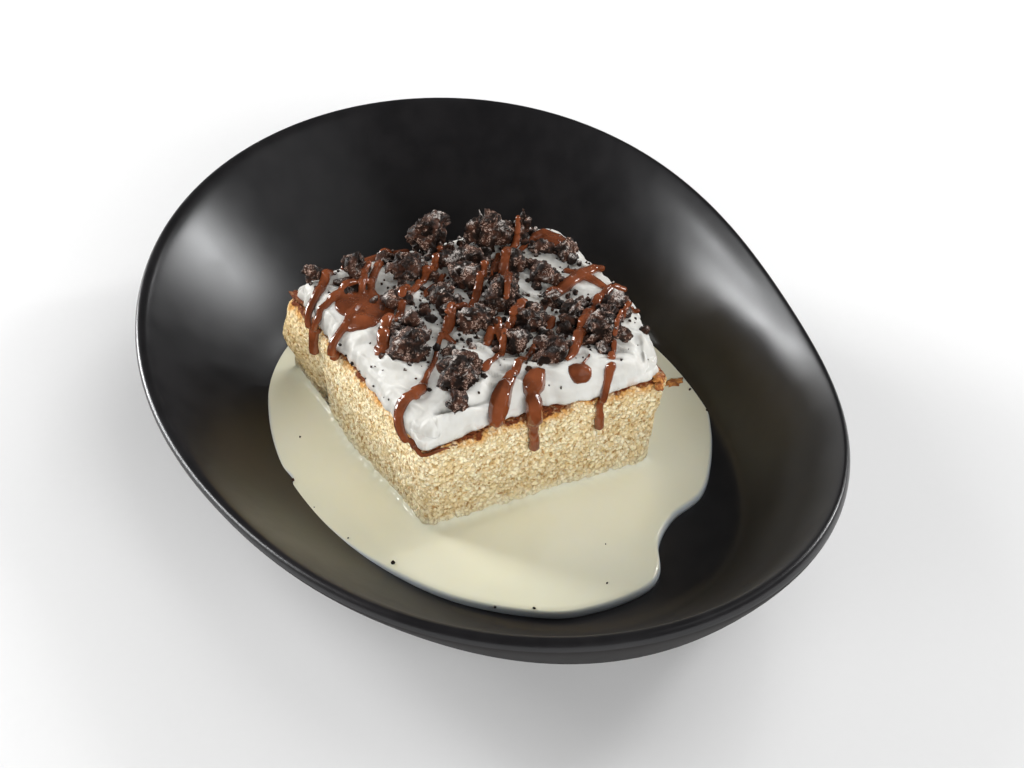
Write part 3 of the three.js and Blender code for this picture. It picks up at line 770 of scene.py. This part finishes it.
def cookieMaterial():
    material, tree, shader, place = newMaterial("darkCookie")
    look = cookieLook
    patches = addNoise(tree, place, 300, 3)
    speck = addNoise(tree, place, 1900, 3, 0.7)
    smear = addNoise(tree, place, 210, 4, 0.7)
    ridge = addNode(tree, "ShaderNodeAttribute", attribute_name="ridge").outputs["Fac"]
    body = addMix(tree, addRange(tree, patches, 0.4, 0.66), look["dark"], look["brown"])
    grainsAndCreviceShade = addMath(tree, "MULTIPLY", addRange(tree, speck, 0.52, 0.58), addRange(tree, patches, 0.42, 0.6))
    # painted shade: the pale grains stay off the crevices, so the crevices stay dark
    grainsAndCreviceShade = addMath(tree, "MULTIPLY", grainsAndCreviceShade, addRange(tree, ridge, 0.2, 0.7))
    body = addMix(tree, grainsAndCreviceShade, body, look["grain"])
    upward = addNode(tree, "ShaderNodeSeparateXYZ",
                     {"Vector": addNode(tree, "ShaderNodeNewGeometry").outputs["Normal"]}).outputs["Z"]
    smeared = addMath(tree, "MULTIPLY", addRange(tree, smear, 0.53, 0.63, 0, 0.85), addRange(tree, upward, 0.3, 0.85))
    smeared = addMath(tree, "MULTIPLY", smeared, addRange(tree, speck, 0.38, 0.56))
    body = addMix(tree, smeared, body, look["cream"])
    setShader(tree, shader, {
        "Base Color": body,
        "Roughness": addRange(tree, patches, 0.3, 0.7, 0.5, 0.8),
        "Specular IOR Level": 0.35,
        "Normal": addBump(tree, addNoise(tree, place, 1500, 3), 0.0003, 0.9),
    })
    return material


# Offset of a broken surface: each cell of it is a small face that leans its own way.
def leaning(place, size, tilt):
    centre = noise.voronoi(place / size)[1][0]
    lean = noise.cell_vector(centre * 7.3) * 2 - Vector((1, 1, 1))
    return (place / size - centre).dot(lean) * size * tilt


def roughenCookie(shape, share=1.0):
    shape.normal_update()
    look = cookieLook
    ridge = shape.verts.layers.float.new("ridge")
    moves = []
    for vert in shape.verts:
        near = noise.voronoi(vert.co / look["crevice"]["size"] + Vector((3, 9, 5)))[0]
        vert[ridge] = ease(near[1] - near[0], 0.0, 0.34)
        crevice = (1 - vert[ridge]) * look["crevice"]["depth"]
        facet = leaning(vert.co, look["facet"]["size"], look["facet"]["tilt"])
        chip = leaning(vert.co, look["chip"]["size"], look["chip"]["tilt"])
        grit = noise.fractal(vert.co / look["grit"]["size"], 0.6, 2.2, 3) * look["grit"]["height"]
        moves.append(vert.normal * share * (0.8 * facet + 0.75 * chip + grit - crevice + 0.1))
    for vert, move in zip(shape.verts, moves):
        vert.co += move


def joined(shapes):
    whole = bmesh.new()
    for shape in shapes:
        mesh = bpy.data.meshes.new("joining")
        shape.to_mesh(mesh)
        shape.free()
        whole.from_mesh(mesh)
        bpy.data.meshes.remove(mesh)
    return whole


def addCookies():
    chunks = []
    for name in cookieNames:
        chunk = fused(nodeShape(name), cookieLook["voxel"], 1)
        roughenCookie(chunk)
        chunks.append(chunk)
    pieces = joined(chunks)
    tree = BVHTree.FromBMesh(pieces)
    addPiece("cookiePieces", pieces, cookieMaterial(), cookieNames)
    return tree


cookieTree = addCookies()
print("cookie pieces made")


def crumbInto(shape, place, radius, level, randomizer):
    stretch = [radius * randomizer.uniform(0.65, 1.3) for _ in range(3)]
    turn = Matrix.Rotation(randomizer.uniform(0, math.tau), 4, "Z") @ Matrix.Rotation(
        randomizer.uniform(0, math.tau), 4, "X")
    matrix = Matrix.Translation(place) @ turn @ Matrix.Diagonal((*stretch, 1))
    made = bmesh.ops.create_icosphere(shape, subdivisions=level, radius=1, matrix=matrix)["verts"]
    for vert in made:
        vert.co += (vert.co - place) * randomizer.uniform(-0.28, 0.28)


# Rubble of broken cookie that lies against the larger pieces.
def addRubble():
    look = rubbleLook
    randomizer = random.Random(look["seed"])
    spots = list(look["placed"])
    while len(spots) < look["count"]:
        plan = onCream(randomizer.uniform(look["inset"], 1 - look["inset"]),
                       randomizer.uniform(look["inset"], 1 - look["inset"]))
        closest = cookieTree.find_nearest(Vector((plan.x, plan.y, 47)))[3]
        bare = ease(0.35 * plan.x + 0.94 * plan.y, -22, 0)
        if randomizer.random() > bell(max(0, closest - 0.8), look["reach"]) * bare:
            continue
        smallest, largest = look["sizes"]
        spots.append((plan.x, plan.y, smallest + (largest - smallest) * randomizer.random() ** 1.6))
    shapes = []
    for x, y, radius in spots:
        shape = bmesh.new()
        height = topAt(x, y, [creamTree])
        crumbInto(shape, Vector((x, y, height + 0.35 * radius)), radius, 2, randomizer)
        shapes.append(shape)
    rubble = fused(joined(shapes), look["voxel"], 0)
    roughenCookie(rubble, 0.45)
    tree = BVHTree.FromBMesh(rubble)
    addPiece("cookieRubble", rubble, bpy.data.materials["darkCookie"])
    return tree


rubbleTree = addRubble()
print("cookie rubble made")


# Chocolate drizzle. A strand lies on the cream and the cookie pieces through its points in
# plan, and then hangs down the side through the points that have a height.

drizzleLook = {
    "voxel": 0.34,
    "step": 0.35,
    # widths are shares of the radius, evenly spaced from the strand's start to its end
    "strands": [
        {"radius": 1.7, "on": [(-31, 50), (-36.5, 43)],
         "down": [(-42.3, 38.5, 42.5), (-43.5, 36, 38), (-42.6, 35.3, 29.5)], "widths": [0.9, 1, 0.9, 0.75, 0.8, 1.1]},
        {"radius": 1.4, "on": [(-27, 39), (-35, 35.5)],
         "down": [(-41.5, 33, 42.5), (-42.6, 34, 37.5), (-42, 35, 31)], "widths": [1.1, 1, 0.9, 0.8, 1]},
        {"radius": 1.5, "on": [(-30, 28), (-35.5, 22)], "down": [(-41, 19.5, 42.5), (-42.2, 19.5, 37.5)],
         "widths": [1.5, 1.2, 0.9, 0.85, 1.15]},
        {"radius": 1.4, "on": [(22.5, 37.5), (19, 32), (12.5, 25), (5, 17), (0.5, 14), (-3.5, 13.5), (-7, 9.5),
                              (-12.5, 2.5), (-19, -8), (-28, -20)],
         "down": [(-36, -23, 42), (-37.6, -27, 39.6), (-37.4, -32, 38.3), (-36.8, -37.4, 37.6)],
         "widths": [0.9, 1.2, 1, 1.1, 0.9, 0.85, 0.75, 0.7, 0.75, 0.75, 1.5, 1.35, 0.95, 0.55]},
        {"radius": 1.0, "on": [],
         "down": [(-37.1, -35, 37.9), (-36.7, -38.0, 37.3), (-35.2, -38.9, 37.4), (-30, -38.5, 38.2), (-24, -38.4, 38.4)],
         "widths": [0.7, 0.8, 0.7, 0.45, 0.35]},
        {"radius": 2.1, "on": [(12, -13.5), (4, -21), (-5, -29)], "down": [(-9.5, -33.5, 43.5), (-11, -36, 41.5)],
         "widths": [0.45, 0.5, 0.6, 0.75, 1.15, 1.5, 1.3]},
        {"radius": 2.2, "on": [(6, -27.5), (2.5, -31.5)],
         "down": [(1, -36.2, 42.2), (0.8, -37.8, 37), (0.7, -37.4, 28.5)],
         "widths": [1.3, 1.6, 1.0, 1.35, 1.15, 0.75, 0.7, 0.85]},
        {"radius": 1.5, "on": [(50, -7), (44.5, -10), (38, -18), (30.5, -28)],
         "down": [(25, -35.6, 42), (22.8, -37.2, 36), (23, -36.9, 28.5)],
         "widths": [0.7, 0.65, 0.55, 0.6, 0.7, 1.1, 0.85, 0.8, 1.15]},
        {"radius": 1.7, "on": [(32, -9), (26.5, -15), (21, -22), (17, -25.5)], "widths": [1.1, 1.2, 1.1, 1, 0.6]},
        {"radius": 1.5, "on": [(5, 44.5), (0.5, 38), (-4, 34.5), (-8.8, 30), (-15.8, 23), (-20.5, 17.5), (-26.5, 12),
                              (-30, 5.5)],
         "widths": [0.8, 1, 1.1, 0.9, 0.9, 1, 0.9, 1.2, 1.5]},
        {"radius": 1.2, "on": [(1.5, 32.5), (-3.5, 28.5), (-7, 26.5), (-8.4, 24)], "widths": [0.8, 1, 1.1, 0.8]},
        {"radius": 1.4, "on": [(24.5, 33), (18, 24.5), (17.5, 20), (15.5, 14), (11.5, 7)],
         "widths": [1, 1.3, 1.1, 1, 0.8]},
        {"radius": 1.5, "on": [(17.5, 5), (14, 2), (8.3, -2.8), (0.4, -13.7)], "widths": [1.1, 1.2, 0.9, 0.7, 0.9]},
        {"radius": 1.3, "on": [(7, 2.5), (4, -3.5), (1.5, -12), (-7.5, -19.7)], "widths": [0.8, 1.1, 0.9, 0.8, 1.1]},
        {"radius": 2.0, "on": [(50, 18.5), (43.2, 16.3), (35.5, 12.5), (27.5, 9)], "widths": [0.8, 1.2, 1.2, 0.8]},
        {"radius": 1.7, "on": [(38.5, 19.7), (43, 13), (44.6, 6.2)], "widths": [0.9, 1.1, 0.8]},
        {"radius": 1.2, "on": [(33, 45), (30.5, 41), (25.5, 36.5)], "widths": [0.8, 1.2, 0.9]},
        {"radius": 1.3, "on": [(45, 39.5), (39.5, 43), (33, 38.5), (28, 35)], "widths": [0.9, 1.2, 1, 0.8]},
        {"radius": 1.2, "on": [(-4, 12), (-6.5, 7.5), (-10.5, 3.5), (-10, -2.5)], "widths": [0.8, 1.2, 1.1, 0.7]},
        {"radius": 1.3, "on": [(-20, 43), (-23.5, 39), (-26, 34.5)], "widths": [0.8, 1.1, 1]},
        {"radius": 1.6, "on": [(-23.5, 31), (-22, 37), (-17.5, 44), (-14, 49)], "widths": [1.3, 1, 0.9, 1]},
        {"radius": 1.8, "on": [(1.5, -3.5), (-1.5, -7.5)], "widths": [0.7, 1, 0.7]},
        {"radius": 1.6, "on": [(22.5, -3.5), (19.5, -6.5)], "widths": [0.7, 1, 0.7]},
        {"radius": 1.5, "on": [(12.5, -12.5), (10.5, -15.5)], "widths": [0.7, 1, 0.7]},
        {"radius": 1.4, "on": [(50.5, 4), (46, 4), (39, -2), (33, -8.5)], "widths": [1.1, 1.2, 1.1, 0.8]},
        {"radius": 1.7, "on": [(-26, 50), (-21, 52.5), (-15, 53.5), (-9, 53), (-4, 51.5)],
         "widths": [0.8, 1, 1.1, 1, 0.8]},
        {"radius": 0.7, "on": [(24, -26), (19.5, -29.5)], "widths": [0.7, 0.9]},
    ],
    "blobs": [
        {"at": (-28, 30), "size": (7.5, 8, 2.4)},
        {"at": (-31, 20.5), "size": (5, 5, 2.2)},
        {"at": (-24.5, 26), "size": (5, 7, 2.4)},
        {"at": (40, 38), "size": (6.5, 5, 2)},
        {"at": (33, 48), "size": (4.5, 4, 2.2)},
        {"at": (18.5, -31), "size": (3.2, 2.6, 2)},
        {"at": (-30.5, 4), "size": (2.6, 3, 2.2)},
    ],
    "blobStep": 0.9,
    "brown": colour(0.195, 0.052, 0.018),
    "deep": colour(0.095, 0.024, 0.008),
}


def chocolateMaterial():
    material, tree, shader, place = newMaterial("milkChocolate")
    cloud = addNoise(tree, place, 120, 3)
    setShader(tree, shader, {
        "Base Color": addMix(tree, addRange(tree, cloud, 0.35, 0.7), drizzleLook["brown"], drizzleLook["deep"]),
        "Roughness": addRange(tree, cloud, 0.3, 0.7, 0.1, 0.18),
        "IOR": 1.48,
        "Coat Weight": 0.6,
        "Coat Roughness": 0.06,
        "Subsurface Weight": 0.08,
        "Subsurface Radius": (0.001, 0.0005, 0.0002),
        "Subsurface Scale": 1.0,
        "Normal": addBump(tree, addNoise(tree, place, 350, 2), 0.0001, 0.4),
    })
    return material


# Points along an open smooth curve, about a step apart.
def smoothPath(points, step):
    path = []
    ends = [2 * points[0] - points[1]] + points + [2 * points[-1] - points[-2]]
    for k in range(1, len(ends) - 2):
        before, start, end, after = ends[k - 1:k + 3]
        steps = max(2, round((end - start).length / step))
        for share in range(steps):
            t = share / steps
            path.append(0.5 * (2 * start + (end - before) * t
                               + (2 * before - 5 * start + 4 * end - after) * t * t
                               + (3 * start - before - 3 * end + after) * t ** 3))
    path.append(points[-1])
    return path


def addBall(shape, place, size):
    matrix = Matrix.Translation(place) @ Matrix.Diagonal((*size, 1))
    bmesh.ops.create_icosphere(shape, subdivisions=1, radius=1.08, matrix=matrix)


def strandShape(strand):
    shape = bmesh.new()
    radius = strand["radius"]
    step = drizzleLook["step"]
    widths = list(enumerate(strand["widths"]))
    last = len(widths) - 1
    path = []
    if strand["on"]:
        flat = smoothPath([Vector(point) for point in strand["on"]], step)
        heights = [topAt(point.x, point.y, [creamTree, cookieTree, rubbleTree]) or 46 for point in flat]
        reach = 5
        draped = [sum(heights[max(0, k - reach):k + reach + 1]) / len(heights[max(0, k - reach):k + reach + 1])
                  for k in range(len(heights))]
        path = [Vector((point.x, point.y, max(height, soft) + 0.3 * radius))
                for point, height, soft in zip(flat, heights, draped)]
    lying = len(path)
    down = [Vector(point) for point in strand.get("down", [])]
    if down:
        path += smoothPath(path[-1:] + down, step)
    for k, place in enumerate(path):
        share = k / (len(path) - 1)
        if k >= lying and place.z > creamLook["underside"]:
            # over the shoulder it lies on the cream
            near, away = creamTree.find_nearest(place)[:2]
            if (place - near).dot(away) < 0.3 * radius:
                place = near + away * 0.3 * radius
        elif k >= lying:
            # further down it lies against the sponge
            near, _, _, gap = spongeTree.find_nearest(place)
            place = near.lerp(place, min(1.0, 0.5 * radius / gap))
        wave = 0.08 * noise.noise(place / 3)
        size = radius * (easedAlong(widths, share * last) + wave)
        addBall(shape, place, (size, size, size * (0.72 if k < lying else 0.95)))
    return shape


# A blob that has spread over the cream: balls on rings, smaller towards its edge.
def blobShape(blob):
    shape = bmesh.new()
    x, y = blob["at"]
    wide, deep, thick = blob["size"]
    rings = max(2, round(max(wide, deep) / drizzleLook["blobStep"]))
    for ring in range(rings):
        reach = ring / rings
        count = max(1, round(math.tau * ring))
        for k in range(count):
            angle = math.tau * k / count
            uneven = 1 + 0.18 * noise.noise(Vector((math.cos(angle) * 1.4 + x, math.sin(angle) * 1.4 + y, 4)))
            ballX = x + wide * reach * uneven * math.cos(angle)
            ballY = y + deep * reach * uneven * math.sin(angle)
            top = topAt(ballX, ballY, [creamTree])
            if top is None:
                continue
            size = 0.85 + 0.5 * thick * (1 - reach * reach)
            addBall(shape, Vector((ballX, ballY, top - 0.2)), (1.5, 1.5, size))
    return shape


def addDrizzle():
    shapes = [strandShape(strand) for strand in drizzleLook["strands"]]
    shapes += [blobShape(blob) for blob in drizzleLook["blobs"]]
    shape = fused(joined(shapes), drizzleLook["voxel"], 3)
    tree = BVHTree.FromBMesh(shape)
    addPiece("chocolateDrizzle", shape, chocolateMaterial())
    return tree


drizzleTree = addDrizzle()
print("chocolate drizzle made")

# Crumbs of cookie on the cream, thickest round the pieces, and a few that fell into the milk.

crumbLook = {
    "seed": 5,
    "batch": 40,
    "lots": [
        {"count": 110, "sizes": (0.8, 1.5), "reach": 3.6, "stray": 0.0, "level": 2},
        {"count": 520, "sizes": (0.25, 0.7), "reach": 4.5, "stray": 0.07, "level": 1},
    ],
    "onFlank": [(-39.2, 19), (-39.1, 14.5), (-38.8, 10), (-38.4, 5), (-38, 0.5), (-37.6, -5), (-36.9, -12),
                (-36.6, -15), (-39.5, 22)],
    "inMilk": [(-49.1, -46.7, 0.9), (-62.9, 1.7, 0.45), (-29.6, -76.2, 0.4), (-19.7, -81.2, 0.5),
               (4, -80.3, 0.35), (70.6, -7.5, 0.55), (70.3, -19.6, 0.4), (-53.7, 21.2, 0.3), (11.3, -64.8, 0.3),
               (-61.4, -13.2, 0.3), (-57.1, -30.8, 0.3)],
}


def crumbSpots(lot, randomizer):
    spots = []
    smallest, largest = lot["sizes"]
    while len(spots) < lot["count"]:
        plan = onCream(randomizer.uniform(0.02, 0.98), randomizer.uniform(0.02, 0.98))
        closest = cookieTree.find_nearest(Vector((plan.x, plan.y, 47)))[3]
        near = bell(max(0, closest - 1), lot["reach"])
        bare = ease(0.35 * plan.x + 0.94 * plan.y, -30, -4)
        if randomizer.random() > lot["stray"] + near * (0.12 + 0.88 * bare):
            continue
        height = topAt(plan.x, plan.y, [creamTree])
        chocolate = topAt(plan.x, plan.y, [drizzleTree])
        if height is None or (chocolate and randomizer.random() < 0.88):
            continue
        height = max(height, chocolate or 0)
        radius = smallest + (largest - smallest) * randomizer.random() ** 2
        spots.append((Vector((plan.x, plan.y, height + 0.3 * radius)), radius, lot["level"]))
    return spots


def addCrumbs():
    randomizer = random.Random(crumbLook["seed"])
    spots = []
    for lot in crumbLook["lots"]:
        spots += crumbSpots(lot, randomizer)
    for x, y in crumbLook["onFlank"]:
        height = topAt(x, y, [creamTree]) or 40
        spots.append((Vector((x, y, height)), randomizer.uniform(0.3, 0.6), 1))
    for x, y, radius in crumbLook["inMilk"]:
        spots.append((Vector((x, y, milkLook["level"] + 0.1)), radius, 1))
    shapes = []
    for start in range(0, len(spots), crumbLook["batch"]):
        shape = bmesh.new()
        for place, radius, level in spots[start:start + crumbLook["batch"]]:
            crumbInto(shape, place, radius, level, randomizer)
        shapes.append(shape)
    addPiece("cookieCrumbs", joined(shapes), bpy.data.materials["darkCookie"])


addCrumbs()
print("crumbs made")

# Flakes of browned crust: at the slice's right corner, and one that fell into the milk.

flakeLook = {
    "flakes": [
        {"at": (44.2, -29.5, 38.6), "size": (1.3, 2.6, 1.3), "lean": 0.3},
        {"at": (44.2, -33.6, 38.2), "size": (1.8, 1.6, 1.5), "lean": 0.2},
        {"at": (43.2, -35.6, 36.8), "size": (1.3, 1.0, 1.2), "lean": 0.1},
        {"at": (67.7, -2.0, 8.5), "size": (3.2, 1.6, 0.6), "lean": 0.0},
    ],
    "orange": colour(0.56, 0.25, 0.07),
    "brown": colour(0.27, 0.09, 0.028),
}


def flakeMaterial():
    material, tree, shader, place = newMaterial("brownedCrust")
    patches = addNoise(tree, place, 420, 3)
    setShader(tree, shader, {
        "Base Color": addMix(tree, addRange(tree, patches, 0.38, 0.62), flakeLook["orange"], flakeLook["brown"]),
        "Roughness": addRange(tree, patches, 0.3, 0.7, 0.4, 0.6),
        "Normal": addBump(tree, addNoise(tree, place, 1200, 3), 0.0002, 0.7),
    })
    return material


def addFlakes():
    shape = bmesh.new()
    for flake in flakeLook["flakes"]:
        place = Vector(flake["at"])
        matrix = Matrix.Translation(place) @ Matrix.Rotation(flake["lean"], 4, "Y") @ Matrix.Diagonal(
            (*flake["size"], 1))
        made = bmesh.ops.create_icosphere(shape, subdivisions=4, radius=1, matrix=matrix)["verts"]
        for vert in made:
            vert.co += (vert.co - place) * 0.6 * noise.fractal(vert.co / 1.1, 0.7, 2.0, 4)
    addPiece("crustFlakes", shape, flakeMaterial())


addFlakes()
print("crust flakes made")

# Studio

studioLook = {
    "floor": 0.70,
    "world": 0.07,
    # the large softboxes light the food, and the others also show in the glaze
    "softboxes": [
        {"name": "key", "azimuth": -34, "elevation": 25, "distance": 1.5, "size": (0.45, 0.95), "power": 13,
         "mirrored": False},
        {"name": "window", "azimuth": -36, "elevation": 10, "distance": 1.5, "size": (0.44, 0.28), "power": 10},
        {"name": "windowStrip", "azimuth": -35, "elevation": 11, "distance": 1.5, "size": (0.06, 0.28), "power": 3.5},
        {"name": "side", "azimuth": 84, "elevation": 28, "distance": 1.4, "size": (0.5, 0.42), "power": 4.5},
        {"name": "sideStrip", "azimuth": 86, "elevation": 29, "distance": 1.4, "size": (0.08, 0.36), "power": 4},
        {"name": "spark", "azimuth": 60, "elevation": 40, "distance": 1.5, "size": (0.08, 0.08), "power": 0.8},
        {"name": "sparkLow", "azimuth": -40, "elevation": 27, "distance": 1.5, "size": (0.24, 0.2), "power": 4},
        {"name": "frontRight", "azimuth": 140, "elevation": 50, "distance": 1.5, "size": (1.0, 0.7), "power": 1.0},
        {"name": "leftFill", "azimuth": -100, "elevation": 12, "distance": 1.5, "size": (0.8, 0.5), "power": 10.5,
         "mirrored": False},
        {"name": "frontFill", "azimuth": 182, "elevation": 22, "distance": 1.5, "size": (1.5, 0.7), "power": 25,
         "mirrored": False},
        {"name": "top", "azimuth": 80, "elevation": 62, "distance": 1.5, "size": (1.0, 1.0), "power": 4.5,
         "mirrored": False},
        {"name": "rightFill", "azimuth": 55, "elevation": 26, "distance": 1.5, "size": (0.8, 0.5), "power": 8,
         "mirrored": False},
    ],
}


def addFloor():
    shape = bmesh.new()
    bmesh.ops.create_grid(shape, x_segments=8, y_segments=8, size=4)
    mesh = bpy.data.meshes.new("paleFloor")
    shape.to_mesh(mesh)
    shape.free()
    floor = bpy.data.objects.new("paleFloor", mesh)
    scene.collection.objects.link(floor)
    material, tree, shader, place = newMaterial("palePaper")
    tone = studioLook["floor"]
    fibre = addRange(tree, addNoise(tree, place, 300, 2), 0, 1, tone - 0.004, tone + 0.004)
    setShader(tree, shader, {"Base Color": fibre, "Roughness": 0.9, "Specular IOR Level": 0.0})
    mesh.materials.append(material)


def addSoftbox(name, azimuth, elevation, distance, size, power, mirrored=True):
    data = bpy.data.lights.new(name, "AREA")
    data.shape = "RECTANGLE"
    data.size, data.size_y = size
    data.energy = power
    lamp = bpy.data.objects.new(name, data)
    scene.collection.objects.link(lamp)
    turn, rise = math.radians(azimuth), math.radians(elevation)
    away = Vector((math.sin(turn) * math.cos(rise), math.cos(turn) * math.cos(rise), math.sin(rise)))
    lamp.location = away * distance
    lamp.rotation_euler = (-away).to_track_quat("-Z", "Y").to_euler()
    lamp.visible_glossy = mirrored


def addStudio():
    addFloor()
    for softbox in studioLook["softboxes"]:
        addSoftbox(**softbox)
    world = bpy.data.worlds.new("studioAir")
    world.use_nodes = True
    background = world.node_tree.nodes["Background"]
    background.inputs["Color"].default_value = colour(1, 1, 1)
    background.inputs["Strength"].default_value = studioLook["world"]
    scene.world = world
    scene.view_settings.view_transform = "Standard"


addStudio()
print("studio made")
